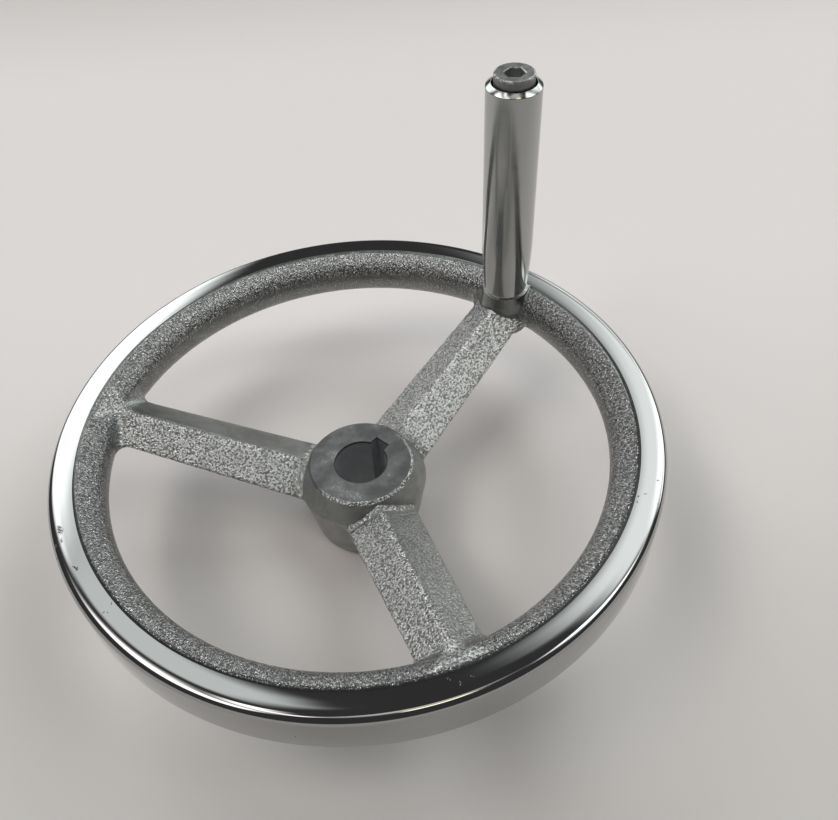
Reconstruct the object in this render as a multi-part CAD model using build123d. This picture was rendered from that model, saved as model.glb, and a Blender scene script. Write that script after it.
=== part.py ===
"""Machine handwheel: a dished three-spoke iron wheel, 200 mm across, with a turning grip.

The wheel is one casting. Its rim and both ends of its hub are turned, and the rest keeps the
cast skin. The grip turns on a spacer tube, which the handle screw clamps against a boss on the
rim. Millimetres, +Z up along the shaft, origin on the shaft's axis at the hub's back end, with
the handle's spoke and the keyway along +X.
"""

import os
from math import cos, radians

from build123d import *

# ---------------------------------------------------------------- driving dimensions, in mm
# Rim
WHEEL_DIAMETER = 200.0
RIM_WIDTH = 16.9  # radially, from the turned outside to the cast inside
RIM_HEIGHT = 17.4
ROLL_RADIUS = 8.2  # cast half-round that faces the hub
RIM_CORNER = 2.0
BAND_CHAMFER = 0.25  # where the turned band stands above the cast roll

# Hub
HUB_LENGTH = 30.0
HUB_FRONT_DIAMETER = 35.8
HUB_WAIST_DIAMETER = 45.0  # at the parting line
HUB_BACK_DIAMETER = 37.2
HUB_BACK_CHAMFER = 1.5
HUB_FRONT_CHAMFER = 0.4
HUB_WAIST_ROUND = 1.2
DISH = 20.5  # how far the rim's front stands above the hub's front

# Bore and keyway
BORE_DIAMETER = 18.0
BORE_CHAMFER = 0.3
KEY_WIDTH = 6.0
KEY_DEPTH = 2.8  # beyond the bore

# Spokes: a lozenge in section, with a ridge front and back and a parting line at each side.
# Widths and thickness are to the lozenge's sharp corners, before they are rounded.
SPOKE_COUNT = 3
SPOKE_HUB_WIDTH = 26.6
SPOKE_RIM_WIDTH = 22.1
SPOKE_THICKNESS = 13.2
RIDGE_SETBACK = 1.0  # of the front ridge behind the hub's front face, at the hub's waist
SPOKE_RIM_DROP = 1.5  # of the parting line below the rim's middle, where it meets the rim
SPOKE_RIDGE_ROUND = 2.0
PARTING_ROUND = 0.8
HUB_ROOT_DEPTH = 8.0  # how far each spoke's core runs in beyond the hub's waist
RIM_ROOT_DEPTH = 5.0  # and beyond the rim's inside
HUB_FILLET = 1.5
RIM_FILLET = 4.0

# Handle boss
HANDLE_INSET = 14.4  # of the handle's axis from the rim's outside
BOSS_DIAMETER = 16.8
BOSS_DRAFT = 0.8  # growth of the boss's radius from front to back

# Grip
GRIP_LENGTH = 81.0
GRIP_DIAMETER = 18.0
GRIP_NECK_DIAMETER = 16.5  # where the long taper meets the short neck
GRIP_FOOT_DIAMETER = 15.6
GRIP_TAPER_LENGTH = 18.0
GRIP_NECK_LENGTH = 4.5
GRIP_FOOT_CHAMFER = 0.3
MOUTH_CHAMFER_HEIGHT = 1.3

# Handle screw: socket-head cap screw, M8 x 90
SCREW_DIAMETER = 8.0
SCREW_LENGTH = 90.0
HEAD_DIAMETER = 13.0
HEAD_HEIGHT = 8.0
HEAD_CHAMFER = 0.5
HEX_ACROSS_FLATS = 6.0
HEX_DEPTH = 4.0
TIP_CHAMFER = 1.0

# Spacer tube
TUBE_DIAMETER = 11.0
TUBE_LENGTH = 76.0

# Clearances
RUNNING_CLEARANCE = 0.05  # radial, grip on tube
END_FLOAT = 0.15  # axial, at each end of the grip
TUBE_CLEARANCE = 0.2  # radial, screw in tube
THREAD_CLEARANCE = 0.05  # radial, screw in its tapped hole
HEAD_CLEARANCE = 0.7  # radial, screw head in the grip's mouth

# ---------------------------------------------------------------- derived places
OUTER_RADIUS = WHEEL_DIAMETER / 2
INNER_RADIUS = OUTER_RADIUS - RIM_WIDTH
BAND_RADIUS = INNER_RADIUS + ROLL_RADIUS  # where the turned band begins
RIM_FRONT = HUB_LENGTH + DISH
RIM_MIDDLE = RIM_FRONT - RIM_HEIGHT / 2
RIM_BACK = RIM_FRONT - RIM_HEIGHT
HUB_WAIST_RADIUS = HUB_WAIST_DIAMETER / 2
HUB_WAIST_HEIGHT = HUB_LENGTH - RIDGE_SETBACK - SPOKE_THICKNESS / 2  # of the parting line
HANDLE_RADIUS = OUTER_RADIUS - HANDLE_INSET
HEAD_SEAT = RIM_FRONT + TUBE_LENGTH
GRIP_START = RIM_FRONT + END_FLOAT
GRIP_END = GRIP_START + GRIP_LENGTH
MOUTH_RADIUS = HEAD_DIAMETER / 2 + HEAD_CLEARANCE
GRIP_BORE_RADIUS = TUBE_DIAMETER / 2 + RUNNING_CLEARANCE


def rim():
    """The rim: a turned band outside, and the cast half-round roll inside."""
    with BuildSketch(Plane.XZ) as profile:
        with Locations((BAND_RADIUS, RIM_MIDDLE)):
            Rectangle(OUTER_RADIUS - BAND_RADIUS, RIM_HEIGHT, align=(Align.MIN, Align.CENTER))
        fillet(profile.vertices().group_by(Axis.X)[-1], RIM_CORNER)
        chamfer(profile.vertices().group_by(Axis.X)[0], BAND_CHAMFER)
        with Locations((BAND_RADIUS, RIM_MIDDLE)):
            Circle(ROLL_RADIUS)
    return revolve(profile.sketch, Axis.Z)


def hub():
    """The hub: two cones that meet at the parting line, with turned ends."""
    back = (HUB_BACK_DIAMETER / 2, 0)
    waist = (HUB_WAIST_RADIUS, HUB_WAIST_HEIGHT)
    front = (HUB_FRONT_DIAMETER / 2, HUB_LENGTH)
    with BuildSketch(Plane.XZ) as profile:
        with BuildLine():
            Polyline((0, 0), back, waist, front, (0, HUB_LENGTH), close=True)
        make_face()
        fillet(profile.vertices().sort_by_distance(waist)[0], HUB_WAIST_ROUND)
        chamfer(profile.vertices().sort_by_distance(front)[0], HUB_FRONT_CHAMFER)
        chamfer(profile.vertices().sort_by_distance(back)[0], HUB_BACK_CHAMFER)
    return revolve(profile.sketch, Axis.Z)


def along_spoke(radius, at_hub, at_rim):
    """A spoke's value at a radius, on the line from its hub value to its rim value."""
    share = (radius - HUB_WAIST_RADIUS) / (INNER_RADIUS - HUB_WAIST_RADIUS)
    return at_hub + share * (at_rim - at_hub)


def spoke_section(radius):
    """The lozenge across a spoke at this distance from the shaft's axis."""
    half_width = along_spoke(radius, SPOKE_HUB_WIDTH, SPOKE_RIM_WIDTH) / 2
    half_height = SPOKE_THICKNESS / 2
    height = along_spoke(radius, HUB_WAIST_HEIGHT, RIM_MIDDLE - SPOKE_RIM_DROP)
    across = Plane(origin=(radius, 0, height), x_dir=(0, 1, 0), z_dir=(1, 0, 0))
    with BuildSketch(across) as section:
        with BuildLine():
            Polyline(
                (0, half_height),
                (half_width, 0),
                (0, -half_height),
                (-half_width, 0),
                close=True,
            )
        make_face()
        upright_order = section.vertices().sort_by(Axis.Y)
        fillet([upright_order[0], upright_order[-1]], SPOKE_RIDGE_ROUND)
        side_order = section.vertices().sort_by(Axis.X)
        fillet([side_order[0], side_order[-1]], PARTING_ROUND)
    return section.sketch


def spoke(number):
    """One spoke, rooted in the hub and in the rim. The first lies along +X."""
    in_hub = spoke_section(HUB_WAIST_RADIUS - HUB_ROOT_DEPTH)
    in_rim = spoke_section(INNER_RADIUS + RIM_ROOT_DEPTH)
    return Rot(0, 0, 360 / SPOKE_COUNT * number) * loft([in_hub, in_rim])


def boss():
    """The handle boss: a slightly tapered post through the rim's height."""
    front_radius = BOSS_DIAMETER / 2
    post = Cone(
        front_radius + BOSS_DRAFT,
        front_radius,
        RIM_HEIGHT,
        align=(Align.CENTER, Align.CENTER, Align.MIN),
    )
    return Pos(HANDLE_RADIUS, 0, RIM_BACK) * post


def upright(radius, height, base):
    """A plain cylinder on the local Z axis, standing on a given height."""
    return Pos(0, 0, base) * Cylinder(radius, height, align=(Align.CENTER, Align.CENTER, Align.MIN))


def blend(first, second, radius):
    """Fuse two solids and fillet the line where they meet."""
    both = first + second
    return fillet(new_edges(first, second, combined=both), radius)


def keyed_bore():
    """What the bore, its chamfers and the keyway take out of the hub."""
    radius = BORE_DIAMETER / 2
    hole = upright(radius, HUB_LENGTH, 0)
    lead = Cone(
        radius + BORE_CHAMFER,
        radius,
        BORE_CHAMFER,
        align=(Align.CENTER, Align.CENTER, Align.MIN),
    )
    keyway = Box(
        radius + KEY_DEPTH,
        KEY_WIDTH,
        HUB_LENGTH,
        align=(Align.MIN, Align.CENTER, Align.MIN),
    )
    return hole + keyway + lead + Pos(0, 0, HUB_LENGTH) * Rot(180, 0, 0) * lead


def wheel():
    """The whole casting, after turning, boring, keywaying and tapping."""
    spokes = Part() + [spoke(number) for number in range(SPOKE_COUNT)]
    casting = blend(hub(), spokes, HUB_FILLET)
    casting = blend(casting, rim(), RIM_FILLET) + boss()
    tapped = upright(SCREW_DIAMETER / 2 + THREAD_CLEARANCE, RIM_HEIGHT, RIM_BACK)
    return casting - keyed_bore() - Pos(HANDLE_RADIUS, 0, 0) * tapped


def grip():
    """The turning sleeve: straight, then narrowing to its foot, with a counterbored mouth."""
    radius = GRIP_DIAMETER / 2
    foot = (GRIP_FOOT_DIAMETER / 2, GRIP_START)
    neck_end = GRIP_START + GRIP_NECK_LENGTH
    floor = HEAD_SEAT - END_FLOAT
    with BuildSketch(Plane.XZ) as profile:
        with BuildLine():
            Polyline(
                (GRIP_BORE_RADIUS, GRIP_START),
                foot,
                (GRIP_NECK_DIAMETER / 2, neck_end),
                (radius, neck_end + GRIP_TAPER_LENGTH),
                (radius, GRIP_END - MOUTH_CHAMFER_HEIGHT),
                (MOUTH_RADIUS, GRIP_END),
                (MOUTH_RADIUS, floor),
                (GRIP_BORE_RADIUS, floor),
                close=True,
            )
        make_face()
        chamfer(profile.vertices().sort_by_distance(foot)[0], GRIP_FOOT_CHAMFER)
    return Pos(HANDLE_RADIUS, 0, 0) * revolve(profile.sketch, Axis.Z)


def spacer_tube():
    """The tube that the grip turns on, between the boss and the screw's head."""
    solid = upright(TUBE_DIAMETER / 2, TUBE_LENGTH, RIM_FRONT)
    hole = upright(SCREW_DIAMETER / 2 + TUBE_CLEARANCE, TUBE_LENGTH, RIM_FRONT)
    return Pos(HANDLE_RADIUS, 0, 0) * (solid - hole)


def handle_screw():
    """The cap screw: head with hexagon socket, and shank down into the boss."""
    head = upright(HEAD_DIAMETER / 2, HEAD_HEIGHT, HEAD_SEAT)
    head = chamfer(head.edges().group_by(Axis.Z)[-1], HEAD_CHAMFER)
    across_corners = HEX_ACROSS_FLATS / cos(radians(30))
    with BuildSketch(Plane.XY.offset(HEAD_SEAT + HEAD_HEIGHT - HEX_DEPTH)) as hexagon:
        RegularPolygon(across_corners / 2, 6)
    socket = extrude(hexagon.sketch, HEX_DEPTH)
    shank = upright(SCREW_DIAMETER / 2, SCREW_LENGTH, HEAD_SEAT - SCREW_LENGTH)
    shank = chamfer(shank.edges().group_by(Axis.Z)[0], TIP_CHAMFER)
    return Pos(HANDLE_RADIUS, 0, 0) * (head + shank - socket)


def main():
    os.makedirs("parts", exist_ok=True)
    pieces = {
        "wheel": wheel(),
        "grip": grip(),
        "spacer_tube": spacer_tube(),
        "handle_screw": handle_screw(),
    }
    for name, piece in pieces.items():
        export_step(piece, f"parts/{name}.step")


main()
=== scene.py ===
"""Looks of the machine handwheel: the turned and polished rim, the pebbled cast skin, the grip.

Lengths are in mm and are turned into metres with MM, unless a comment says that they are in metres.
An edge is a pair of marks: something fades in or out smoothly while a value goes from one to the other.
"""

from math import asin, cos, pi, radians, sin, tan

import bmesh
import bpy
import numpy as np
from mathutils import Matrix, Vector, noise


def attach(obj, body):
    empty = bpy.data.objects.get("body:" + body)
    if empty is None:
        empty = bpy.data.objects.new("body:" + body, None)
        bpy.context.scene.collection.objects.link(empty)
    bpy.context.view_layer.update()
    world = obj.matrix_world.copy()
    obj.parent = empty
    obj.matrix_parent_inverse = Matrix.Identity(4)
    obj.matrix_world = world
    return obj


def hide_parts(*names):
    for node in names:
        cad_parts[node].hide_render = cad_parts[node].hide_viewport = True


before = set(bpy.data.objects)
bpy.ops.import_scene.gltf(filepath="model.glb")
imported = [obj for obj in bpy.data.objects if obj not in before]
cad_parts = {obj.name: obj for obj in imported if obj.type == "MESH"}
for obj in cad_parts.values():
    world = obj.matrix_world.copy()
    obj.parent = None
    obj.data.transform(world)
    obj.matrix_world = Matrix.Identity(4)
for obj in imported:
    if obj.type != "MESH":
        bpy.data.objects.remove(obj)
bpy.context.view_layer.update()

MM = 0.001

# ---------------------------------------------------------------- sizes of the CAD part
RIM_FRONT = 50.5
RIM_BACK = 33.1
RIM_MIDDLE = 41.8
RIM_CORNER = 2.0
BAND_RADIUS = 91.3
OUTER_RADIUS = 100.0
INNER_RADIUS = 83.1

HUB_LENGTH = 30.0
HUB_FRONT_RADIUS = 17.9
HUB_BACK_RADIUS = 18.6
HUB_BACK_CHAMFER = 1.5
HUB_CHAMFER = 0.4
HUB_WAIST_RADIUS = 22.5
HUB_WAIST_HEIGHT = 22.4
HUB_SLOPE = (HUB_WAIST_RADIUS - HUB_FRONT_RADIUS) / (HUB_LENGTH - HUB_WAIST_HEIGHT)
BORE_RADIUS = 9.0
BORE_CHAMFER = 0.3
KEY_WIDTH = 6.0
KEY_REACH = 11.8

SPOKE_COUNT = 3
SPOKE_HUB_HALF = 13.3
SPOKE_RIM_HALF = 11.05

HANDLE_RADIUS = 85.6
BOSS_RADIUS = 8.4
TAPPED_RADIUS = 4.05

GRIP_FOOT_RADIUS = 7.8
GRIP_RADIUS = 9.0
GRIP_BORE_RADIUS = 5.55
GRIP_START = 50.65
GRIP_END = 131.65
GRIP_FLARE = 22.5
GRIP_FOOT_CHAMFER = 0.3
MOUTH_RADIUS = 7.2
MOUTH_FLOOR = 126.35
MOUTH_CHAMFER_HEIGHT = 1.3

HEAD_SEAT = 126.5
HEAD_RADIUS = 6.5
HEAD_TOP = 134.5
SCREW_RADIUS = 4.0
SCREW_END = 36.5
TIP_CHAMFER = 1.0
SOCKET_DEPTH = 4.0
SOCKET_FLATS = 6.0

# ---------------------------------------------------------------- edges, plainer in the solids
BAND_CHAMFER = 0.4  # the step from the band to the cast roll; the solid's is smaller
CORNER_ROUND = 2.5  # the band's front corner; the solid's is RIM_CORNER, as at the back
INNER_CROWN_START = 94.2
INNER_CROWN_ROUND = 40.0
OUTER_CROWN_ROUND = 16.0
CROWN_TILT = radians(9)  # of the band where its crown runs into the rounded corner
GRIP_END_ROUND = 0.25
MOUTH_EDGE_ROUND = 0.15
HEAD_SEAT_ROUND = 0.2
HEAD_TOP_ROUND = 0.5
SOCKET_LIP = 0.3

# ---------------------------------------------------------------- how finely things are made
BAND_SEGMENTS = 384
ROUND_SEGMENTS = 96
HOLE_SEGMENTS = 48
HEXAGON = 6
ARC_STEPS = 6
FLARE_STEPS = 24
MERGE_DISTANCE = 0.001  # vertices that are nearer to each other become one
SLIVER_LENGTH = 0.0005  # shorter edges are dissolved
CASTING_CREASE = radians(40)  # edges sharper than this stay crisp
TURNED_CREASE = radians(25)

# ---------------------------------------------------------------- making the casting
VOXEL = 0.6
ALLOWANCE = 1.5  # left on for the hub and the boss to be machined
PLUG_WALL = 4.0  # what the plug that fills the bore has past it, to fill the keyway too
BACK_INSET = 0.1  # keeps the hub's back allowance off its cast side
SOFTENING = 5  # passes of smoothing that round the casting's edges
FOOT_SOFTENING = 80  # passes that blend the boss into the rim and the spoke
SOFTENING_FACTOR = 0.5
FOOT_INNER_EDGE = (-1.5, 0)  # of the blended zone, past the boss's radius
FOOT_OUTER_EDGE = (3, 7)
FOOT_LOW_EDGE = (38, 43)  # heights
FOOT_HIGH_EDGE = (48.0, 49.5)
FOOT_LIMIT = BAND_RADIUS - 1  # nothing past this radius is blended
KEPT_FACES = 0.55  # the share that thinning leaves
OVERLAP = 0.3  # of the casting and the band
CLEAR = 9.0  # how far a cutting tool reaches past what it cuts
CHAMFER_CLEAR = 2.0  # the same, at the hub's back chamfer
FACING_CLEAR = 3.0  # and round the boss
SOCKET_CLEAR = 1.0  # and above the screw's socket

# ---------------------------------------------------------------- the cast skin
SWELL_PITCH = 1.7  # of the skin's coarse unevenness
SWELL_HEIGHT = 0.12

RIM_ZONE = INNER_RADIUS - 1  # past this radius the skin is the rim's
# Round the rim's roll, in degrees from its top: its pebbles start and thin out, and so does its
# more silvery middle
ROLL_START_EDGE = (3, 7)
ROLL_END_EDGE = (55, 75)
ROLL_END_LOSS = 0.75
MIDDLE_START_EDGE = (15, 35)
MIDDLE_END_EDGE = (50, 65)
MIDDLE_GAIN = 2
ROLL_SILVER = 0.05
HUB_PEBBLES = 0.2
HUB_SILVER = 0.15
BOSS_PEBBLES = 0.15
BOSS_EDGE = (0.3, 2)  # past the boss's radius

# Each spoke's left and right facet: how pebbled and how silvery the skin is; the silvery level is set
# per side as painted light, lighter on the facets that catch the light and darker on those that face
# away from it
FACETS = (
    ((1.0, 0.32), (1.0, 1.0)),
    ((1.0, 0.52), (0.12, 0.12)),
    ((0.35, 0.4), (1.0, 0.45)),
)
FACET_START_EDGE = (-1.5, 0.5)  # past the hub's waist
FACET_END_EDGE = (-3, 1)  # past the rim's inner radius
FACET_SIDE_EDGE = (0, 2)  # past the spoke's half width

SPOKE_END = 79.0  # where each spoke's ridge runs out on the rim
FLANK_TONES = (0.35, 0.12)  # how pebbled and how silvery the rim is beside that end: smoother, and dulled there as painted shade
FLANK_START_EDGE = (0, 3)  # past the spoke's end
FLANK_END_EDGE = (3, 8)
FLANK_SIDE_EDGE = (-2, 3)  # past the spoke's half width
WEDGES = (1.0, 0.4, 1.0)  # how strongly the triangle at each spoke's end stands out, as a painted light patch
WEDGE_TONES = (0.6, 0.75)  # how pebbled and how silvery it is
WEDGE_SPREAD = 0.8  # its half width, for each mm along the spoke
WEDGE_SIDE_EDGE = (-0.5, 0.5)
WEDGE_START_EDGE = (0, 1)  # past the spoke's end
WEDGE_END_EDGE = (89, 90)

# Each spoke's ridge and its painted highlight: how far the bright band reaches to its left and right,
# and where it fades
RIDGES = ((1.0, 0.6, 30, 45), (1.2, 0.4, 30, 60), (0.2, 1.4, 60, 84))
RIDGE_BRIGHTNESS = 0.9
RIDGE_SIDE_EDGE = (0.6, 1.2)  # in parts of the band's own reach
RIDGE_START_EDGE = (18, 20)
RIDGE_HEIGHT_EDGE = (HUB_WAIST_HEIGHT, HUB_LENGTH - 3)
RIDGE_FRAYING = 0.9
# Each spoke's root and the painted highlight round it: the first two edges are counted outwards from
# the hub's cone
ROOT_INNER_EDGE = (0.15, 0.35)
ROOT_OUTER_EDGE = (1.0, 1.7)
ROOT_START_EDGE = (14, 15)
ROOT_HEIGHT_EDGE = (19, 20)
ROOT_FRAYING = 1.6
FRAYING_PITCH = 1.1  # of the noise that frays the ridges and the roots
HIGHLIGHT_LIMIT = INNER_RADIUS - 3  # nothing past this radius has the painted highlight

HUB_HIGHLIGHT_SIDE = (-0.17, -0.98, 0.0)  # the way towards the brightest part of the painted highlight on the hub's front edge
STRIP_START = 90.9  # of the dark strip beside the polished band, a painted shadow of the step between them
STRIP_SIDE = (-0.5, -0.87, 0.0)  # the way towards the strip's widest part

# Scars on the polished band: x and y, half the length and half the width in mm, direction in degrees
SCARS = (
    (-86.0, 43.6, 2.2, 0.9, 64),
    (-88.0, 40.1, 1.1, 0.35, 64),
    (-90.3, 40.1, 0.6, 0.4, 60),
    (-91.2, 28.8, 1.8, 0.5, 80),
    (-95.2, 10.0, 0.3, 0.25, 0),
    (-94.1, 9.1, 0.25, 0.25, 0),
    (-92.0, 10.5, 0.4, 0.2, 40),
    (-51.0, -77.7, 0.9, 0.15, 80),
    (-50.0, -81.0, 0.4, 0.2, 20),
    (-46.9, -82.2, 0.5, 0.15, 100),
    (38.4, -89.5, 0.55, 0.3, 110),
    (29.5, -87.7, 0.35, 0.3, 0),
    (31.2, -88.8, 0.25, 0.25, 0),
    (27.2, -88.3, 0.35, 0.25, 30),
    (30.4, -93.2, 0.3, 0.2, 60),
)

# ---------------------------------------------------------------- the camera and the studio, in metres
SENSOR_WIDTH = 36.0  # this and the focal length are in mm
FOCAL_LENGTH = 36.6206
CAMERA_SHIFT = (0.017773, 0.0042185)  # in parts of the sensor's width
CAMERA_PLACE = (-0.124503, -0.138071, 0.260935)
CAMERA_ANGLES = (radians(41.63), radians(3.0988), radians(-50.5518))
CAMERA_RANGE = (0.01, 20.0)

DAYLIGHT = (0.95, 1.0, 0.98)
LAMPLIGHT = (1.02, 1.0, 0.965)
GOLDEN = (1.1, 1.0, 0.72)

# Each soft box, in degrees: azimuth of its middle, half its width and how soft its sides are;
# elevation from and to, and how soft its top and bottom are; its strength and its colour
SOFT_BOXES = (
    (75, 16.5, 8, 15, 48, 6, 2.6, DAYLIGHT),
    (76, 13, 10, 48, 69, 10, 1.1, DAYLIGHT),
    (139, 34, 17, 48, 62, 14, 4.6, LAMPLIGHT),
    (142, 38, 6, 69, 75, 6, 2.9, LAMPLIGHT),
    (-110, 19, 7, 67, 74, 4, 3.2, GOLDEN),
    (-122, 75, 6, 76, 92, 20, 1.1, LAMPLIGHT),
    (-50, 14, 25, 39, 64, 6, 3.75, DAYLIGHT),
    (7, 22, 22, 31, 62, 10, 1.7, DAYLIGHT),
    (-10, 16, 12, 26, 50, 8, 1.3, DAYLIGHT),
    (-3, 28, 6, 17, 26, 6, 3.0, DAYLIGHT),
)
SKY_GLOW = 0.06
BACKDROP = 0.6  # how light the room is that the camera sees past the paper

PAPER_HALF = 3.0
# The paper's tone, painted shade that darkens it towards the camera and far off: the way it runs, where
# it rises and falls, and the colours it passes
PAPER_SLOPE = (0.75, 0.66, 0.0)
PAPER_RISE = (-0.14, 0.15)
PAPER_FALL = (0.33, 0.55)
PAPER_NEAR = (0.685, 0.65, 0.642, 1.0)
PAPER_MIDDLE = (0.878, 0.825, 0.826, 1.0)
PAPER_FAR = (0.695, 0.645, 0.642, 1.0)
SHADOW_PLACE = (-0.07, -0.09, 0.0)  # the middle of a faint painted shadow on the paper
SHADOW_EDGE = (0.02, 0.11)
SHADOW_DEPTH = 0.13


# ---------------------------------------------------------------- meshes
def object_from(name, mesh):
    """A new object holding a mesh, in the scene."""
    piece = bpy.data.objects.new(name, mesh)
    bpy.context.scene.collection.objects.link(piece)
    return piece


def rounded(corners):
    """A closed outline from (radius, height, rounding) corners, with an arc at each rounded one."""
    outline = []
    count = len(corners)
    for index, (r, z, rounding) in enumerate(corners):
        here = Vector((r, z))
        if not rounding:
            outline.append(here)
            continue
        before = (Vector(corners[index - 1][:2]) - here).normalized()
        after = (Vector(corners[(index + 1) % count][:2]) - here).normalized()
        half = before.angle(after) / 2
        centre = here + (before + after).normalized() * (rounding / sin(half))
        start = here + before * (rounding / tan(half)) - centre
        end = here + after * (rounding / tan(half)) - centre
        sweep = start.angle_signed(end)
        for part in range(ARC_STEPS + 1):
            turn = -sweep * part / ARC_STEPS
            x = start.x * cos(turn) - start.y * sin(turn)
            y = start.x * sin(turn) + start.y * cos(turn)
            outline.append(centre + Vector((x, y)))
    return outline


def arc(centre_r, centre_z, rounding, start, end, steps):
    """Points of an arc about (radius, height), from one tilt to another; 0 faces up, 90 degrees out."""
    tilts = np.linspace(start, end, steps + 1)
    return [Vector((centre_r + rounding * sin(t), centre_z + rounding * cos(t))) for t in tilts]


def lathe(name, outline, segments, centre_x=0.0):
    """A closed outline of (radius, height), in mm, turned about an upright axis."""
    outline = [Vector(point) for point in outline]
    count = len(outline)
    bm = bmesh.new()
    rings = []
    for segment in range(segments):
        turn = 2 * pi * segment / segments
        rings.append([
            bm.verts.new(((centre_x + r * cos(turn)) * MM, r * sin(turn) * MM, z * MM))
            for r, z in outline
        ])
    for segment in range(segments):
        here = rings[segment]
        there = rings[(segment + 1) % segments]
        for index in range(count):
            after = (index + 1) % count
            bm.faces.new((here[index], there[index], there[after], here[after]))
    bmesh.ops.remove_doubles(bm, verts=bm.verts, dist=MERGE_DISTANCE * MM)
    bmesh.ops.dissolve_degenerate(bm, edges=bm.edges, dist=SLIVER_LENGTH * MM)
    bmesh.ops.recalc_face_normals(bm, faces=bm.faces)
    mesh = bpy.data.meshes.new(name)
    bm.to_mesh(mesh)
    bm.free()
    return object_from(name, mesh)


def disc(radius, low, high):
    """The outline of a plain solid disc."""
    return [(0, low), (radius, low), (radius, high), (0, high)]


def block(name, low, high):
    """A box from its lowest to its highest corner, in mm."""
    bm = bmesh.new()
    bmesh.ops.create_cube(bm, size=1.0)
    for vert in bm.verts:
        for axis in range(3):
            share = vert.co[axis] + 0.5
            vert.co[axis] = (low[axis] + share * (high[axis] - low[axis])) * MM
    mesh = bpy.data.meshes.new(name)
    bm.to_mesh(mesh)
    bm.free()
    return object_from(name, mesh)


def baked(piece):
    """Replaces an object's mesh with what its modifiers make of it."""
    bpy.context.view_layer.update()
    depsgraph = bpy.context.evaluated_depsgraph_get()
    mesh = bpy.data.meshes.new_from_object(piece.evaluated_get(depsgraph))
    piece.modifiers.clear()
    piece.data = mesh


def combine(target, tool, operation):
    """Adds a tool solid to the target or takes it away, and deletes the tool."""
    modifier = target.modifiers.new("tool", "BOOLEAN")
    modifier.object = tool
    modifier.operation = operation
    modifier.solver = "MANIFOLD"
    modifier.material_mode = "TRANSFER"
    baked(target)
    bpy.data.objects.remove(tool)


def cut(target, tool, finish):
    """Takes a tool solid away from the target and leaves a finish on the cut."""
    tool.data.materials.append(finish)
    combine(target, tool, "DIFFERENCE")


def join_into(target, others):
    """Puts the meshes of other objects into the target's mesh and deletes the others."""
    bm = bmesh.new()
    bm.from_mesh(target.data)
    for other in others:
        bm.from_mesh(other.data)
        bpy.data.objects.remove(other)
    bm.to_mesh(target.data)
    bm.free()


def shade(piece, crease):
    """Smooth shading, but edges sharper than the crease's angle or between finishes stay crisp."""
    bm = bmesh.new()
    bm.from_mesh(piece.data)
    for face in bm.faces:
        face.smooth = True
    for edge in bm.edges:
        materials = {face.material_index for face in edge.link_faces}
        edge.smooth = edge.calc_face_angle(0.0) < crease and len(materials) == 1
    bm.to_mesh(piece.data)
    bm.free()


# ---------------------------------------------------------------- the cast skin's relief
def step(values, edge, mark=0.0):
    """0 before an edge and 1 past it, smooth between, for arrays; the edge is counted from a mark."""
    low, high = mark + edge[0], mark + edge[1]
    share = np.clip((values - low) / (high - low), 0, 1)
    return share * share * (3 - 2 * share)


def per_vertex(mesh, name):
    """One of the mesh's vectors at each vertex, as an array."""
    flat = np.empty(len(mesh.vertices) * 3, np.float32)
    mesh.vertices.foreach_get(name, flat)
    return flat.reshape(-1, 3).astype(float)


def positions(mesh):
    """The mesh's vertices in mm, as an array."""
    return per_vertex(mesh, "co") / MM


def from_axis(points, centre_x=0.0):
    """How far the points lie from an upright axis, in mm."""
    return np.hypot(points[:, 0] - centre_x, points[:, 1])


def along_spokes(points):
    """Each spoke's number, and how far along it and to its left the points lie, in mm."""
    for number in range(SPOKE_COUNT):
        turn = 2 * pi * number / SPOKE_COUNT
        reach = points[:, 0] * cos(turn) + points[:, 1] * sin(turn)
        yield number, reach, points[:, 1] * cos(turn) - points[:, 0] * sin(turn)


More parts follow.
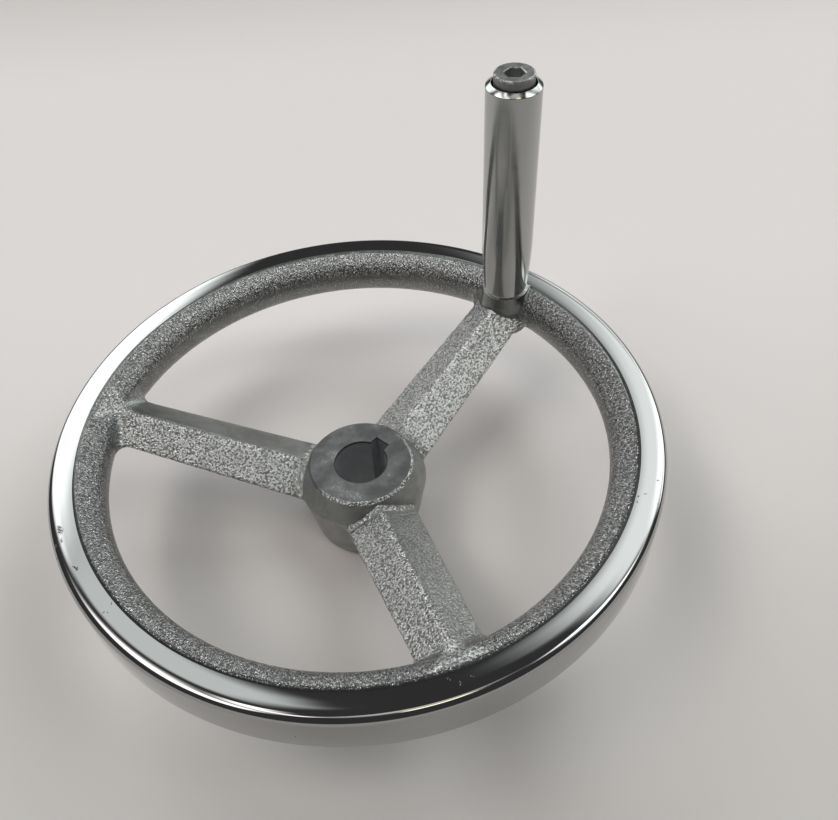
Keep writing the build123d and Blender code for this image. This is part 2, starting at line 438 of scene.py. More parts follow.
def skin_tones(points):
    """How strongly the cast skin is pebbled and how silvery it is at each point, from 0 to 1; the
    silvery level also carries painted light and shade on the facets and at the spokes' ends.
    """
    radius = from_axis(points)
    turn = np.degrees(np.arctan2(BAND_RADIUS - radius, points[:, 2] - RIM_MIDDLE))
    roll = step(turn, ROLL_START_EDGE) * (1 - ROLL_END_LOSS * step(turn, ROLL_END_EDGE))
    middle = step(turn, MIDDLE_START_EDGE) * (1 - step(turn, MIDDLE_END_EDGE))
    pebbles = np.where(radius > RIM_ZONE, roll, HUB_PEBBLES)
    silver_and_painted_light = np.where(radius > RIM_ZONE, ROLL_SILVER * (1 + MIDDLE_GAIN * middle), HUB_SILVER)
    for number, reach, across in along_spokes(points):
        aside = np.abs(across)
        share = (reach - HUB_WAIST_RADIUS) / (INNER_RADIUS - HUB_WAIST_RADIUS)
        half = SPOKE_HUB_HALF + share * (SPOKE_RIM_HALF - SPOKE_HUB_HALF)
        facet = (
            step(reach, FACET_START_EDGE, HUB_WAIST_RADIUS)
            * (1 - step(reach, FACET_END_EDGE, INNER_RADIUS))
            * (1 - step(aside, FACET_SIDE_EDGE, half))
        )
        # the rim beside the spoke's end is dulled as painted shade, and the triangle between, the
        # wedge, is a painted light patch
        flank = (
            step(reach, FLANK_START_EDGE, SPOKE_END)
            * (1 - step(reach, FLANK_END_EDGE, SPOKE_END))
            * (1 - step(aside, FLANK_SIDE_EDGE, half))
        )
        wedge = (
            step(WEDGE_SPREAD * (reach - SPOKE_END) - aside, WEDGE_SIDE_EDGE)
            * step(reach, WEDGE_START_EDGE, SPOKE_END)
            * (1 - step(reach, WEDGE_END_EDGE))
            * WEDGES[number]
        )
        tones = zip((pebbles, silver_and_painted_light), zip(*FACETS[number]), FLANK_TONES, WEDGE_TONES)
        for values, (left, right), flank_tone, wedge_tone in tones:
            values += facet * (np.where(across > 0, left, right) - values)
            values += flank * (flank_tone - values)
            values += wedge * (wedge_tone - values)
    off_boss = step(from_axis(points, HANDLE_RADIUS), BOSS_EDGE, BOSS_RADIUS)
    return pebbles * (BOSS_PEBBLES + (1 - BOSS_PEBBLES) * off_boss), silver_and_painted_light * off_boss


def painted_highlights(points):
    """How bright the painted highlight on the skin is at each point: along the spokes' ridges and round
    their roots.
    """
    ragged = np.array([noise.noise(Vector(p) / FRAYING_PITCH) for p in points])
    radius = from_axis(points)
    height = points[:, 2]
    gap = radius - (HUB_FRONT_RADIUS + HUB_SLOPE * (HUB_LENGTH - height))
    root = (
        step(gap, ROOT_INNER_EDGE)
        * (1 - step(gap + ROOT_FRAYING * ragged, ROOT_OUTER_EDGE))
        * step(height, ROOT_HEIGHT_EDGE)
    )
    highlight = np.zeros(len(points))
    for number, reach, across in along_spokes(points):
        left, right, *fading_edge = RIDGES[number]
        aside = np.where(across > 0, across / left, -across / right) + RIDGE_FRAYING * ragged
        ridge = (
            (1 - step(aside, RIDGE_SIDE_EDGE))
            * step(height, RIDGE_HEIGHT_EDGE)
            * step(reach, RIDGE_START_EDGE)
            * (1 - step(reach, fading_edge))
            * RIDGE_BRIGHTNESS
        )
        highlight = np.maximum(highlight, np.maximum(ridge, root * step(reach, ROOT_START_EDGE)))
    return highlight * (radius < HIGHLIGHT_LIMIT)


def roughen(casting):
    """Moves the casting's skin in and out by the coarser part of its pebbles, then thins its mesh."""
    mesh = casting.data
    points = positions(mesh)
    lift = np.array([noise.noise(Vector(p) / SWELL_PITCH) for p in points]) * SWELL_HEIGHT
    points += per_vertex(mesh, "normal") * (lift * skin_tones(points)[0])[:, None]
    mesh.vertices.foreach_set("co", (points * MM).astype(np.float32).ravel())
    mesh.update()
    thin = casting.modifiers.new("thin", "DECIMATE")
    thin.ratio = KEPT_FACES
    baked(casting)


def mark_skin(casting):
    """Writes on each vertex how pebbled and how silvery it is, with the painted light in that, and how
    bright its painted highlight is, for the skin's material.
    """
    mesh = casting.data
    points = positions(mesh)
    pebbles, silver_and_painted_light = skin_tones(points)
    for name, values in (("pebbles", pebbles), ("silver_and_painted_light", silver_and_painted_light), ("painted_highlight", painted_highlights(points))):
        attribute = mesh.attributes.new(name, "FLOAT", "POINT")
        attribute.data.foreach_set("value", values.astype(np.float32))


# ---------------------------------------------------------------- node helpers
class Nodes:
    """A short way to write a node tree."""

    def __init__(self, tree):
        self.tree = tree
        tree.nodes.clear()

    def add(self, kind, settings=None, **inputs):
        """A node with its settings and inputs, each a value or a socket to link.

        An input is given by its name, with _ for a space, or by its number, as i0, i1 and so on.
        """
        node = self.tree.nodes.new(kind)
        for name, value in (settings or {}).items():
            setattr(node, name, value)
        for name, value in inputs.items():
            key = int(name[1:]) if name[0] == "i" and name[1:].isdigit() else name.replace("_", " ")
            self.put(node.inputs[key], value)
        return node

    def put(self, socket, value):
        """A value set on a socket, or an output linked to it."""
        if isinstance(value, bpy.types.NodeSocket):
            self.tree.links.new(value, socket)
        else:
            socket.default_value = value

    def math(self, operation, *values):
        """The result of an operation on numbers."""
        node = self.add("ShaderNodeMath", {"operation": operation})
        for index, value in enumerate(values):
            self.put(node.inputs[index], value)
        return node.outputs[0]

    def times(self, first, second):
        """The product of two numbers."""
        return self.math("MULTIPLY", first, second)

    def vector(self, operation, *values):
        """The result of an operation on vectors: a vector or, for some operations, a number."""
        node = self.add("ShaderNodeVectorMath", {"operation": operation})
        for index, value in enumerate(values):
            self.put(node.inputs[index], value)
        gives_number = operation in ("LENGTH", "DISTANCE", "DOT_PRODUCT")
        return node.outputs["Value" if gives_number else "Vector"]

    def ramp(self, value, before, past, edge=(0.0, 1.0)):
        """A smooth step from one level, before an edge, to another, past it."""
        node = self.add(
            "ShaderNodeMapRange",
            {"interpolation_type": "SMOOTHSTEP"},
            Value=value,
            From_Min=edge[0],
            From_Max=edge[1],
            To_Min=before,
            To_Max=past,
        )
        return node.outputs[0]

    def rise(self, value, edge):
        """0 before an edge and 1 past it."""
        return self.ramp(value, 0, 1, edge)

    def fall(self, value, edge):
        """1 before an edge and 0 past it."""
        return self.ramp(value, 1, 0, edge)

    def between(self, value, low, high, soft):
        """1 where the value is between two marks and 0 elsewhere, with soft ends."""
        rise = self.rise(value, (low - soft, low + soft))
        return self.times(rise, self.fall(value, (high - soft, high + soft)))

    def around(self, spot, centre_x=0.0):
        """How far a point lies from an upright axis, and its height, in mm."""
        x, y, z = self.add("ShaderNodeSeparateXYZ", Vector=spot).outputs
        flat = self.add("ShaderNodeCombineXYZ", X=self.math("SUBTRACT", x, centre_x * MM), Y=y)
        length = self.vector("LENGTH", flat.outputs[0])
        return self.math("DIVIDE", length, MM), self.math("DIVIDE", z, MM)

    def noise(self, spot, scale, detail, **more):
        """Noise in space, with this many cells in a metre."""
        node = self.add("ShaderNodeTexNoise", Vector=spot, Scale=scale, Detail=detail, **more)
        return node.outputs[0]

    def tool_lines(self, way, scale):
        """Noise along one way only, with this many cells in a mm."""
        settings = {"noise_dimensions": "1D"}
        return self.add("ShaderNodeTexNoise", settings, W=way, Scale=scale, Detail=2.0).outputs[0]

    def blend(self, factor, first, second):
        """A blend of two numbers."""
        return self.add("ShaderNodeMix", i0=factor, i2=first, i3=second).outputs[0]

    def mix(self, factor, first, second):
        """A blend of two colours."""
        node = self.add("ShaderNodeMix", {"data_type": "RGBA"}, i0=factor, i6=first, i7=second)
        return node.outputs[2]

    def bump(self, height, depth):
        """The bumped surface of a relief; its depth is in metres."""
        return self.add("ShaderNodeBump", Strength=1.0, Distance=depth, Height=height).outputs[0]

    def surface(self, **inputs):
        """The surface's shader and the tree's output."""
        shader = self.add("ShaderNodeBsdfPrincipled", **inputs)
        self.add("ShaderNodeOutputMaterial", Surface=shader.outputs[0])


def grey(level, warmth=0.0, moss=0.0):
    """A near-neutral colour; warmth lifts red and lowers blue, moss lowers both."""
    return (level * (1 + warmth - moss), level, level * (1 - warmth - moss), 1.0)


def new_material(name):
    """A material, its emptied node tree, and the place on the object."""
    material = bpy.data.materials.new(name)
    material.use_nodes = True
    n = Nodes(material.node_tree)
    return material, n, n.add("ShaderNodeTexCoord").outputs["Object"]


# ---------------------------------------------------------------- materials
def polished_chrome():
    """The turned and polished band: mirror bright, with faint turning lines, pits and scars."""
    plating, dirt = grey(0.42), grey(0.05)
    hazed_edge = (0.35, 0.75)
    hazed_roughness = (0.04, 0.1)
    chosen_cells = (0.93, 0.94)  # only the cells whose random number is past this have a pit
    pit_edge = (0.03, 0.09)  # in parts of a cell
    pit_roughness = 0.4
    scar_edge = (0.6, 1.1)  # in parts of the scar's own size
    crumb_edge = (0.46, 0.54)
    crookedness = 2.0  # how far the scars' outlines wander
    line_depth = 0.02  # where a pit's depth is 1

    material, n, spot = new_material("polished_chrome")
    radius, height = n.around(spot)
    haze = n.noise(spot, scale=60.0, detail=4.0)
    lines = n.tool_lines(n.math("ADD", radius, height), scale=5.0)
    cells = n.add("ShaderNodeTexVoronoi", Vector=spot, Scale=260.0)
    chance = n.add("ShaderNodeSeparateColor", Color=cells.outputs["Color"]).outputs[0]
    pits = n.times(n.fall(cells.outputs["Distance"], pit_edge), n.rise(chance, chosen_cells))
    wobble = n.add("ShaderNodeTexNoise", Vector=spot, Scale=900.0, Detail=3.0).outputs["Color"]
    crooked = n.vector("MULTIPLY_ADD", wobble, (crookedness * MM, crookedness * MM, 0.0), spot)
    crumbs = n.rise(n.noise(spot, scale=2600.0, detail=2.0), crumb_edge)
    for x, y, half_length, half_width, heading in SCARS:
        local = n.add(
            "ShaderNodeMapping",
            {"vector_type": "TEXTURE"},
            Vector=crooked,
            Location=((x + crookedness / 2) * MM, (y + crookedness / 2) * MM, 0.0),
            Rotation=(0.0, 0.0, radians(heading)),
            Scale=(half_length * MM, half_width * MM, 1.0),
        )
        stroke = n.fall(n.vector("LENGTH", local.outputs[0]), scar_edge)
        pits = n.math("MAXIMUM", pits, n.times(stroke, crumbs))
    relief = n.math("SUBTRACT", n.times(lines, line_depth), pits)
    roughness = n.ramp(haze, *hazed_roughness, hazed_edge)
    n.surface(
        Base_Color=n.mix(pits, plating, dirt),
        Metallic=1.0,
        Roughness=n.math("ADD", roughness, n.times(pits, pit_roughness)),
        Normal=n.bump(relief, depth=0.00005),
    )
    return material


def cast_skin():
    """Plated cast skin: fine strokes on the rim, coarser pebbles on the spokes, smoother patches;
    painted highlights on ridges, roots and pebbles, painted shade in the hollows and a painted shadow
    beside the band.
    """
    # the pebbles' hollows are painted darker and their tops lighter, as painted shade and light on the
    # relief
    hollow_dull, hollow_silver = grey(0.14), grey(0.3)
    mound_dull, mound_silver = grey(0.28), grey(0.95)
    plain_dull, plain_dark, plain_light = grey(0.2, 0, 0.04), grey(0.28, 0, 0.03), grey(0.4, 0, 0.03)
    glinting, painted_step_shadow = grey(0.9, 0.01), grey(0.07)
    narrowing = 0.7  # of the strokes, beside how long they are
    grain_edge = (0.2, 0.28)  # how silvery the skin is where grain takes over from the strokes
    blotch_edge = (0.35, 0.65)
    plain_silver_edge = (0, 0.12)
    mound_edge = (0.42, 0.56)
    pebbled_edge = (0.1, 0.7)
    glint_fine_edge, glint_mound_edge, glint_pebbled_edge = (0.54, 0.62), (0.46, 0.56), (0.05, 0.45)
    highlight_grain_edge = (0.45, 0.55)
    strip_shift = (-1.1, 0.9)  # of the strip's start, from its narrowest to its widest part
    strip_shift_edge = (-0.09, 0.09)  # in metres
    strip_edge = (STRIP_START - 0.2, STRIP_START + 0.2)
    strip_height_edge = (RIM_FRONT - 4, RIM_FRONT - 3)
    mound_relief, fine_relief = (0.08, 1.0), (0.06, 0.35)  # on smooth skin and on lumpy skin

    material, n, spot = new_material("cast_skin")
    radius, height = n.around(spot)
    pebbled, silver_and_painted_light, painted_highlight = (
        n.add("ShaderNodeAttribute", {"attribute_name": name}).outputs["Fac"]
        for name in ("pebbles", "silver_and_painted_light", "painted_highlight")
    )
    x, y = n.add("ShaderNodeSeparateXYZ", Vector=spot).outputs[:2]
    unrolled = n.add(
        "ShaderNodeCombineXYZ",
        X=n.times(radius, narrowing * MM),
        Y=n.times(n.math("ARCTAN2", y, x), BAND_RADIUS * MM),
        Z=n.times(height, narrowing * MM),
    ).outputs[0]
    strokes = n.noise(unrolled, scale=1800.0, detail=2.0, Distortion=0.5)
    grain = n.noise(spot, scale=1400.0, detail=2.0, Distortion=0.4)
    mound = n.blend(n.rise(silver_and_painted_light, grain_edge), strokes, grain)
    fine = n.noise(unrolled, scale=3000.0, detail=2.0)
    blotch = n.noise(spot, scale=110.0, detail=4.0, Roughness=0.6)

    # glints: painted highlights on the tops of the pebbles
    glint = n.times(n.rise(fine, glint_fine_edge), n.rise(mound, glint_mound_edge))
    glint = n.times(glint, n.rise(pebbled, glint_pebbled_edge))
    # the painted highlight along the ridges and roots, broken up by the grain
    broken_highlight = n.times(painted_highlight, n.rise(grain, highlight_grain_edge))
    bright = n.math("MAXIMUM", broken_highlight, glint)

    # the dark strip beside the band: a painted shadow of the step, widest on one side
    shift = n.ramp(n.vector("DOT_PRODUCT", spot, STRIP_SIDE), *strip_shift, strip_shift_edge)
    strip = n.rise(n.math("ADD", radius, shift), strip_edge)
    strip = n.times(strip, n.rise(height, strip_height_edge))

    lumpy = n.math("MAXIMUM", pebbled, painted_highlight)
    coarse_part = n.times(mound, n.ramp(lumpy, *mound_relief))
    fine_part = n.times(fine, n.ramp(lumpy, *fine_relief))

    # hollows darker and mounds lighter: painted shade and light that follow the relief
    hollows = n.mix(silver_and_painted_light, hollow_dull, hollow_silver)
    mounds = n.mix(silver_and_painted_light, mound_dull, mound_silver)
    plain = n.mix(n.rise(blotch, blotch_edge), plain_dark, plain_light)
    plain = n.mix(n.rise(silver_and_painted_light, plain_silver_edge), plain_dull, plain)
    pebbly = n.mix(n.rise(mound, mound_edge), hollows, mounds)
    colour = n.mix(n.rise(pebbled, pebbled_edge), plain, pebbly)
    n.surface(
        Base_Color=n.mix(bright, n.mix(strip, colour, painted_step_shadow), glinting),
        Metallic=1.0,
        Roughness=n.ramp(bright, before=0.3, past=0.18),
        Normal=n.bump(n.math("ADD", coarse_part, fine_part), depth=0.0006),
    )
    return material


def turned_dull():
    """The hub's turned faces, dull and dark, in broad blotches, with a bright edge that is a painted
    highlight.
    """
    # the last colour is the painted highlight's on the front edge
    dark, light, speck, bare_and_highlight = grey(0.12, -0.02), grey(0.21, -0.02), grey(0.36), grey(0.95)
    blotch_edge = (0.36, 0.66)
    specked_blotch_edge, speck_edge = (0.57, 0.66), (0.45, 0.6)
    highlight_start, highlight_end = HUB_FRONT_RADIUS - 0.75, HUB_FRONT_RADIUS + 0.8
    highlight_softness = 0.25
    wander, wander_edge = (-0.4, 0.4), (0.3, 0.7)  # of the painted highlight's edge
    highlight_breakup_edge = (0.46, 0.56)
    highlight_side_edge = (-0.004, 0.006)  # in metres
    least_highlight = 0.05

    material, n, spot = new_material("turned_dull")
    radius = n.around(spot)[0]
    blotch = n.noise(spot, scale=120.0, detail=5.0, Roughness=0.6)
    speckle = n.noise(spot, scale=1600.0, detail=3.0)
    wandering = n.math("ADD", radius, n.ramp(blotch, *wander, wander_edge))
    highlight_breakup = n.ramp(speckle, least_highlight, 1, highlight_breakup_edge)
    highlight_side = n.ramp(n.vector("DOT_PRODUCT", spot, HUB_HIGHLIGHT_SIDE), least_highlight, 1, highlight_side_edge)
    # the painted highlight along the front edge, broken up and brightest on one side
    painted_highlight = n.between(wandering, highlight_start, highlight_end, highlight_softness)
    painted_highlight = n.times(painted_highlight, n.times(highlight_breakup, highlight_side))
    specks = n.times(n.rise(blotch, specked_blotch_edge), n.rise(speckle, speck_edge))
    dull = n.mix(specks, n.mix(n.rise(blotch, blotch_edge), dark, light), speck)
    n.surface(
        Base_Color=n.mix(painted_highlight, dull, bare_and_highlight),
        Metallic=0.7,
        Roughness=n.ramp(painted_highlight, before=0.48, past=0.28),
        Normal=n.bump(n.times(speckle, n.ramp(painted_highlight, before=0.3, past=3.0)), depth=0.0001),
    )
    return material


def bore_wall():
    """The bored and broached walls, dark grey, with faint tool lines and dirt in the mouth."""
    dark, light, dirt = grey(0.48, -0.03), grey(0.66, -0.03), grey(0.06)
    mouth_edge = (HUB_LENGTH - 1.0, HUB_LENGTH - 0.3)

    material, n, spot = new_material("bore_wall")
    height = n.around(spot)[1]
    lines = n.tool_lines(height, scale=4.0)
    stain = n.noise(spot, scale=150.0, detail=3.0)
    n.surface(
        Base_Color=n.mix(n.rise(height, mouth_edge), n.mix(stain, dark, light), dirt),
        Metallic=0.9,
        Roughness=n.ramp(lines, before=0.45, past=0.6),
        Normal=n.bump(lines, depth=0.00002),
    )
    return material


def faced_steel():
    """The boss's faced end, bright and finely scuffed."""
    material, n, spot = new_material("faced_steel")
    scuff = n.noise(spot, scale=2200.0, detail=3.0)
    n.surface(
        Base_Color=n.mix(n.rise(scuff, (0.4, 0.6)), grey(0.35), grey(0.9)),
        Metallic=1.0,
        Roughness=0.35,
        Normal=n.bump(scuff, depth=0.00015),
    )
    return material


def grip_chrome():
    """The grip's plated surface: turned round and round, so that reflections smear lengthwise."""
    lengthwise = (1.0, 1.0, 0.03)  # what draws the marks out along the grip
    hazed_edge = (0.35, 0.7)

    material, n, spot = new_material("grip_chrome")
    haze = n.noise(spot, scale=90.0, detail=4.0)
    marks = n.noise(n.vector("MULTIPLY", spot, lengthwise), scale=1500.0, detail=2.0)
    n.surface(
        Base_Color=grey(0.4, 0, 0.02),
        Metallic=1.0,
        Roughness=n.ramp(haze, before=0.11, past=0.16, edge=hazed_edge),
        Anisotropic=0.95,
        Anisotropic_Rotation=0.25,
        Tangent=n.add("ShaderNodeTangent", {"direction_type": "RADIAL", "axis": "Z"}).outputs[0],
        Normal=n.bump(marks, depth=0.000002),
    )
    return material


def screw_black():
    """The screw's dull dark finish, with a painted highlight along the head's edge."""
    # the last colour is the painted highlight's on the head's edge
    dark, light, bare_and_highlight = grey(0.18, 0, 0.02), grey(0.28, 0, 0.02), grey(0.65)
    mottle_edge = (0.35, 0.65)
    highlight_start, highlight_end = HEAD_RADIUS - 0.6, HEAD_RADIUS + 0.5
    highlight_softness = 0.15
    highlight_height_edge = (HEAD_TOP - 1.0, HEAD_TOP - 0.4)
    scuff_edge = (0.46, 0.58)

    material, n, spot = new_material("screw_black")
    radius, height = n.around(spot, HANDLE_RADIUS)
    mottle = n.noise(spot, scale=500.0, detail=4.0, Roughness=0.6)
    scuff = n.noise(spot, scale=900.0, detail=4.0, Distortion=1.0)
    # the painted highlight along the head's edge
    painted_highlight = n.between(radius, highlight_start, highlight_end, highlight_softness)
    painted_highlight = n.times(painted_highlight, n.rise(height, highlight_height_edge))
    broken_highlight = n.times(painted_highlight, n.rise(scuff, scuff_edge))
    n.surface(
        Base_Color=n.mix(broken_highlight, n.mix(n.rise(mottle, mottle_edge), dark, light), bare_and_highlight),
        Metallic=0.7,
        Roughness=n.ramp(mottle, before=0.42, past=0.56, edge=mottle_edge),
        Normal=n.bump(scuff, depth=0.00006),
    )
    return material


def socket_wear_and_highlight():
    """The socket's bare walls, and the bright lip round its mouth: a painted highlight on the chamfer,
    and wear where the key has rubbed it.
    """
    lip_edge = (HEAD_TOP - 0.6, HEAD_TOP - 0.3)

    material, n, spot = new_material("socket_wear_and_highlight")
    # the bright lip: painted highlight, and wear from the key
    lip = n.rise(n.around(spot, HANDLE_RADIUS)[1], lip_edge)
    scuff = n.rise(n.noise(spot, scale=1200.0, detail=3.0), (0.4, 0.6))
    n.surface(
        Base_Color=n.mix(n.times(lip, scuff), grey(0.4), grey(0.85)),
        Metallic=0.8,
        Roughness=0.4,
    )
    return material


def tube_steel():
    """The spacer tube's plain turned steel."""
    material, n, spot = new_material("tube_steel")
    lines = n.tool_lines(n.around(spot, HANDLE_RADIUS)[1], scale=6.0)
    n.surface(
        Base_Color=n.mix(lines, grey(0.34), grey(0.46)),
        Metallic=1.0,
        Roughness=0.3,
        Normal=n.bump(lines, depth=0.00001),
    )
    return material


def paper():
    """Pale paper, uneven in tone as painted shade that darkens it towards the camera and far off, with
    a faint painted shadow and a few specks of dust.
    """
    dust_edge = (0.006, 0.011)  # in parts of a cell

    material, n, spot = new_material("paper")
    along = n.vector("DOT_PRODUCT", spot, PAPER_SLOPE)
    tone = n.mix(n.rise(along, PAPER_RISE), PAPER_NEAR, PAPER_MIDDLE)
    tone = n.mix(n.rise(along, PAPER_FALL), tone, PAPER_FAR)
    # a faint painted shadow on the paper
    painted_shadow = n.ramp(n.vector("DISTANCE", spot, SHADOW_PLACE), SHADOW_DEPTH, 0, SHADOW_EDGE)
    tone = n.mix(painted_shadow, tone, grey(0.0))
    cells = n.add("ShaderNodeTexVoronoi", Vector=spot, Scale=18.0)
    dust = n.fall(cells.outputs["Distance"], dust_edge)
    n.surface(Base_Color=n.mix(dust, tone, grey(0.2)), Roughness=0.8)
    return material


# ---------------------------------------------------------------- the wheel
def rough_casting():
    """The wheel as it leaves the sand: the CAD form with the machining allowances still on."""
    casting = object_from("wheel_casting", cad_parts["wheel"].data.copy())
    bm = bmesh.new()
    bm.from_mesh(casting.data)
    bmesh.ops.remove_doubles(bm, verts=bm.verts, dist=MERGE_DISTANCE * MM)
    bm.to_mesh(casting.data)
    bm.free()
    plug = disc(BORE_RADIUS + PLUG_WALL, -ALLOWANCE, HUB_LENGTH + ALLOWANCE)
    back = disc(HUB_BACK_RADIUS - BACK_INSET, -ALLOWANCE, 2 * ALLOWANCE)
    boss = disc(BOSS_RADIUS, RIM_BACK, RIM_FRONT + ALLOWANCE)
    front = [
        (0, HUB_LENGTH - ALLOWANCE),
        (HUB_FRONT_RADIUS + HUB_SLOPE * ALLOWANCE, HUB_LENGTH - ALLOWANCE),
        (HUB_FRONT_RADIUS - HUB_SLOPE * ALLOWANCE, HUB_LENGTH + ALLOWANCE),
        (0, HUB_LENGTH + ALLOWANCE),
    ]
    join_into(casting, [
        lathe("plug", plug, ROUND_SEGMENTS),
        lathe("front", front, ROUND_SEGMENTS),
        lathe("back", back, ROUND_SEGMENTS),
        lathe("boss", boss, ROUND_SEGMENTS, HANDLE_RADIUS),
    ])
    remesh = casting.modifiers.new("skin", "REMESH")
    remesh.mode = "VOXEL"
    remesh.voxel_size = VOXEL * MM
    baked(casting)
    soften(casting)
    return casting


def soften(casting):
    """Rounds the casting's edges a little, and blends the boss's foot into the rim and the spoke."""
    points = positions(casting.data)
    from_boss = from_axis(points, HANDLE_RADIUS)
    height = points[:, 2]
    weights = step(from_boss, FOOT_INNER_EDGE, BOSS_RADIUS)
    weights *= 1 - step(from_boss, FOOT_OUTER_EDGE, BOSS_RADIUS)
    weights *= step(height, FOOT_LOW_EDGE) * (1 - step(height, FOOT_HIGH_EDGE))
    weights *= from_axis(points) < FOOT_LIMIT
    foot = casting.vertex_groups.new(name="foot")
    for index in np.flatnonzero(weights):
        foot.add([int(index)], weights[index], "REPLACE")
    for group, passes in (("", SOFTENING), ("foot", FOOT_SOFTENING)):
        smooth = casting.modifiers.new("soften", "SMOOTH")
        smooth.factor = SOFTENING_FACTOR
        smooth.iterations = passes
        smooth.vertex_group = group
    baked(casting)


def machine(casting, faced, dull, bore):
    """Turns, bores, keyways and drills the casting, each cut with its own finish."""
    trim = lathe(
        "trim",
        [
            (BAND_RADIUS + OVERLAP, RIM_BACK - CLEAR),
            (OUTER_RADIUS + CLEAR, RIM_BACK - CLEAR),
            (OUTER_RADIUS + CLEAR, RIM_FRONT + CLEAR),
            (BAND_RADIUS + OVERLAP, RIM_FRONT + CLEAR),
        ],
        BAND_SEGMENTS,
    )
    combine(casting, trim, "DIFFERENCE")
    front = [
        (0, HUB_LENGTH),
        (HUB_FRONT_RADIUS - HUB_CHAMFER, HUB_LENGTH),
        (HUB_FRONT_RADIUS + HUB_CHAMFER, HUB_LENGTH - 2 * HUB_CHAMFER),
        (HUB_FRONT_RADIUS + HUB_CHAMFER, HUB_LENGTH + CLEAR),
        (0, HUB_LENGTH + CLEAR),
    ]
    back = [
        (0, -CLEAR),
        (HUB_BACK_RADIUS + CHAMFER_CLEAR, -CLEAR),
        (HUB_BACK_RADIUS + CHAMFER_CLEAR, HUB_BACK_CHAMFER + CHAMFER_CLEAR),
        (HUB_BACK_RADIUS - HUB_BACK_CHAMFER, 0),
        (0, 0),
    ]
    lead = BORE_RADIUS + BORE_CHAMFER
    hole = [
        (0, -CLEAR),
        (lead, -CLEAR),
        (lead, 0),
        (BORE_RADIUS, BORE_CHAMFER),
        (BORE_RADIUS, HUB_LENGTH - BORE_CHAMFER),
        (lead, HUB_LENGTH),
        (lead, HUB_LENGTH + CLEAR),
        (0, HUB_LENGTH + CLEAR),
    ]
    tapped = disc(TAPPED_RADIUS, RIM_BACK - CLEAR, RIM_FRONT + CLEAR)
    facing = disc(BOSS_RADIUS + FACING_CLEAR, RIM_FRONT, RIM_FRONT + CLEAR)
    cut(casting, lathe("front", front, ROUND_SEGMENTS), dull)
    cut(casting, lathe("back", back, ROUND_SEGMENTS), dull)
    cut(casting, lathe("hole", hole, ROUND_SEGMENTS), bore)
    half_key = KEY_WIDTH / 2
    keyway = block("keyway", (0, -half_key, -CLEAR), (KEY_REACH, half_key, HUB_LENGTH + CLEAR))
    cut(casting, keyway, bore)
    cut(casting, lathe("tapped", tapped, HOLE_SEGMENTS, HANDLE_RADIUS), bore)
    cut(casting, lathe("boss_top", facing, ROUND_SEGMENTS, HANDLE_RADIUS), faced)


def band():
    """The turned ring that the rim's outside shows, slightly crowned and with rounded corners."""
    start = BAND_RADIUS + BAND_CHAMFER
    inward = asin((INNER_CROWN_START - start) / INNER_CROWN_ROUND)
    inner_z = RIM_FRONT - INNER_CROWN_ROUND
    crown = arc(INNER_CROWN_START, inner_z, INNER_CROWN_ROUND, -inward, 0, ARC_STEPS)
    corner_r = OUTER_RADIUS - CORNER_ROUND
    crown_r = corner_r - (OUTER_CROWN_ROUND - CORNER_ROUND) * sin(CROWN_TILT)
    crown_z = RIM_FRONT - OUTER_CROWN_ROUND
    crown += arc(crown_r, crown_z, OUTER_CROWN_ROUND, 0, CROWN_TILT, ARC_STEPS)
    corner_z = crown[-1].y - CORNER_ROUND * cos(CROWN_TILT)
    crown += arc(corner_r, corner_z, CORNER_ROUND, CROWN_TILT, pi / 2, 2 * ARC_STEPS)[1:]
    crown += arc(OUTER_RADIUS - RIM_CORNER, RIM_BACK + RIM_CORNER, RIM_CORNER, pi / 2, pi, ARC_STEPS)
    foot = [(start, RIM_BACK), (BAND_RADIUS, RIM_BACK + BAND_CHAMFER)]
    return lathe("band", [(BAND_RADIUS, crown[0].y - BAND_CHAMFER)] + crown + foot, BAND_SEGMENTS)


def wheel():
    """The finished wheel, standing for its CAD node."""
    skin = cast_skin()
    chrome = polished_chrome()
    casting = rough_casting()
    casting.data.materials.clear()
    casting.data.materials.append(skin)
    roughen(casting)
    machine(casting, faced_steel(), turned_dull(), bore_wall())
    ring = band()
    ring.data.materials.append(chrome)
    combine(casting, ring, "UNION")
    mark_skin(casting)
    shade(casting, CASTING_CREASE)
    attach(casting, "wheel")
    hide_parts("wheel")


# ---------------------------------------------------------------- the handle
def grip():
    """The plated grip: straight above, and drawn in to its foot by a long easy flare."""
    flare = [
        (GRIP_FOOT_RADIUS + (GRIP_RADIUS - GRIP_FOOT_RADIUS) * sin(pi / 2 * share), share * GRIP_FLARE)
        for share in np.linspace(0, 1, FLARE_STEPS)
    ]
    corners = [(GRIP_BORE_RADIUS, GRIP_START, 0), (GRIP_FOOT_RADIUS - GRIP_FOOT_CHAMFER, GRIP_START, 0)]
    corners += [(radius, GRIP_START + max(height, GRIP_FOOT_CHAMFER), 0) for radius, height in flare]
    corners += [
        (GRIP_RADIUS, GRIP_END - MOUTH_CHAMFER_HEIGHT, GRIP_END_ROUND),
        (MOUTH_RADIUS, GRIP_END, MOUTH_EDGE_ROUND),
        (MOUTH_RADIUS, MOUTH_FLOOR, 0),
        (GRIP_BORE_RADIUS, MOUTH_FLOOR, 0),
    ]
    sleeve = lathe("grip_sleeve", rounded(corners), 2 * ROUND_SEGMENTS, HANDLE_RADIUS)
    sleeve.data.materials.append(grip_chrome())
    shade(sleeve, TURNED_CREASE)
    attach(sleeve, "grip")
    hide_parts("grip")


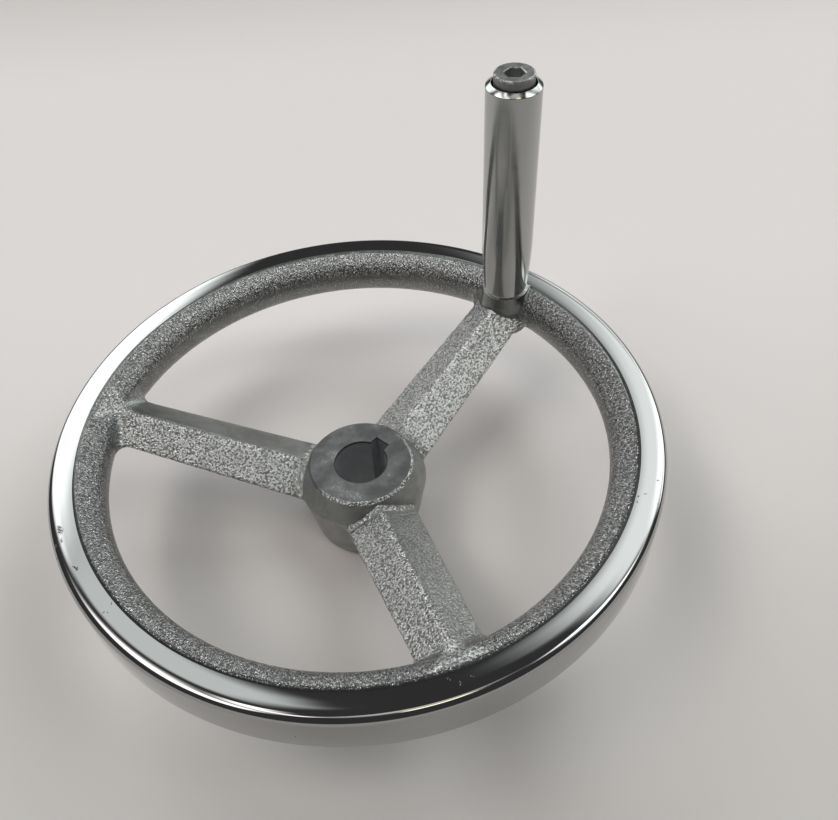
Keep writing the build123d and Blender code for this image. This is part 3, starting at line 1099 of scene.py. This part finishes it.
def screw():
    """The cap screw, with a painted highlight on its head's edge and a hexagon socket."""
    body = lathe(
        "cap_screw",
        rounded([
            (0, SCREW_END, 0),
            (SCREW_RADIUS - TIP_CHAMFER, SCREW_END, 0),
            (SCREW_RADIUS, SCREW_END + TIP_CHAMFER, 0),
            (SCREW_RADIUS, HEAD_SEAT, 0),
            (HEAD_RADIUS, HEAD_SEAT, HEAD_SEAT_ROUND),
            (HEAD_RADIUS, HEAD_TOP, HEAD_TOP_ROUND),
            (0, HEAD_TOP, 0),
        ]),
        ROUND_SEGMENTS,
        HANDLE_RADIUS,
    )
    body.data.materials.append(screw_black())
    # the socket's material: bare walls and a painted highlight on the lip
    bare_and_highlight = socket_wear_and_highlight()
    corner = SOCKET_FLATS / 2 / cos(pi / HEXAGON)
    socket = disc(corner, HEAD_TOP - SOCKET_DEPTH, HEAD_TOP + SOCKET_CLEAR)
    lip = [
        (0, HEAD_TOP - SOCKET_LIP),
        (corner, HEAD_TOP - SOCKET_LIP),
        (corner + 2 * SOCKET_LIP, HEAD_TOP + SOCKET_LIP),
        (0, HEAD_TOP + SOCKET_LIP),
    ]
    cut(body, lathe("socket", socket, HEXAGON, HANDLE_RADIUS), bare_and_highlight)
    cut(body, lathe("lip", lip, HEXAGON, HANDLE_RADIUS), bare_and_highlight)
    shade(body, TURNED_CREASE)
    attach(body, "wheel")
    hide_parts("handle_screw")


def tube():
    """The spacer tube keeps its CAD form."""
    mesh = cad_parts["spacer_tube"].data
    mesh.materials.clear()
    mesh.materials.append(tube_steel())


# ---------------------------------------------------------------- stage
def camera():
    """The camera, at the photograph's place and angle."""
    data = bpy.data.cameras.new("camera")
    data.sensor_width = SENSOR_WIDTH
    data.lens = FOCAL_LENGTH
    data.shift_x, data.shift_y = CAMERA_SHIFT
    data.clip_start, data.clip_end = CAMERA_RANGE
    eye = object_from("camera", data)
    eye.location = CAMERA_PLACE
    eye.rotation_euler = CAMERA_ANGLES
    bpy.context.scene.camera = eye


def floor():
    """A wide sheet of paper."""
    bm = bmesh.new()
    bmesh.ops.create_grid(bm, x_segments=1, y_segments=1, size=PAPER_HALF)
    mesh = bpy.data.meshes.new("floor")
    bm.to_mesh(mesh)
    bm.free()
    sheet = object_from("floor", mesh)
    mesh.materials.append(paper())


def studio():
    """Light from soft boxes set round the object, given by azimuth and elevation in degrees."""
    world = bpy.data.worlds.new("studio")
    bpy.context.scene.world = world
    world.use_nodes = True
    n = Nodes(world.node_tree)
    way = n.add("ShaderNodeTexCoord").outputs["Generated"]
    x, y, z = n.add("ShaderNodeSeparateXYZ", Vector=way).outputs
    azimuth = n.math("DEGREES", n.math("ARCTAN2", y, x))
    elevation = n.math("DEGREES", n.math("ARCSINE", z))
    total = (SKY_GLOW, SKY_GLOW, SKY_GLOW)
    for middle, half, side_soft, low, high, end_soft, strength, tint in SOFT_BOXES:
        aside = n.math("ABSOLUTE", n.math("WRAP", n.math("SUBTRACT", azimuth, middle), 180.0, -180.0))
        across = n.ramp(aside, strength, 0, (half - side_soft / 2, half + side_soft / 2))
        glow = n.times(across, n.between(elevation, low, high, end_soft / 2))
        coloured = n.add("ShaderNodeVectorMath", {"operation": "SCALE"}, i0=tint, Scale=glow)
        total = n.vector("ADD", total, coloured.outputs[0])
    lit = n.add("ShaderNodeBackground", Color=total, Strength=1.0)
    seen = n.add("ShaderNodeBackground", Color=grey(BACKDROP), Strength=1.0)
    by_camera = n.add("ShaderNodeLightPath").outputs["Is Camera Ray"]
    mixed = n.add("ShaderNodeMixShader", i0=by_camera, i1=lit.outputs[0], i2=seen.outputs[0])
    n.add("ShaderNodeOutputWorld", Surface=mixed.outputs[0])


scene = bpy.context.scene
scene.view_settings.view_transform = "Standard"
wheel()
grip()
screw()
tube()
camera()
floor()
studio()
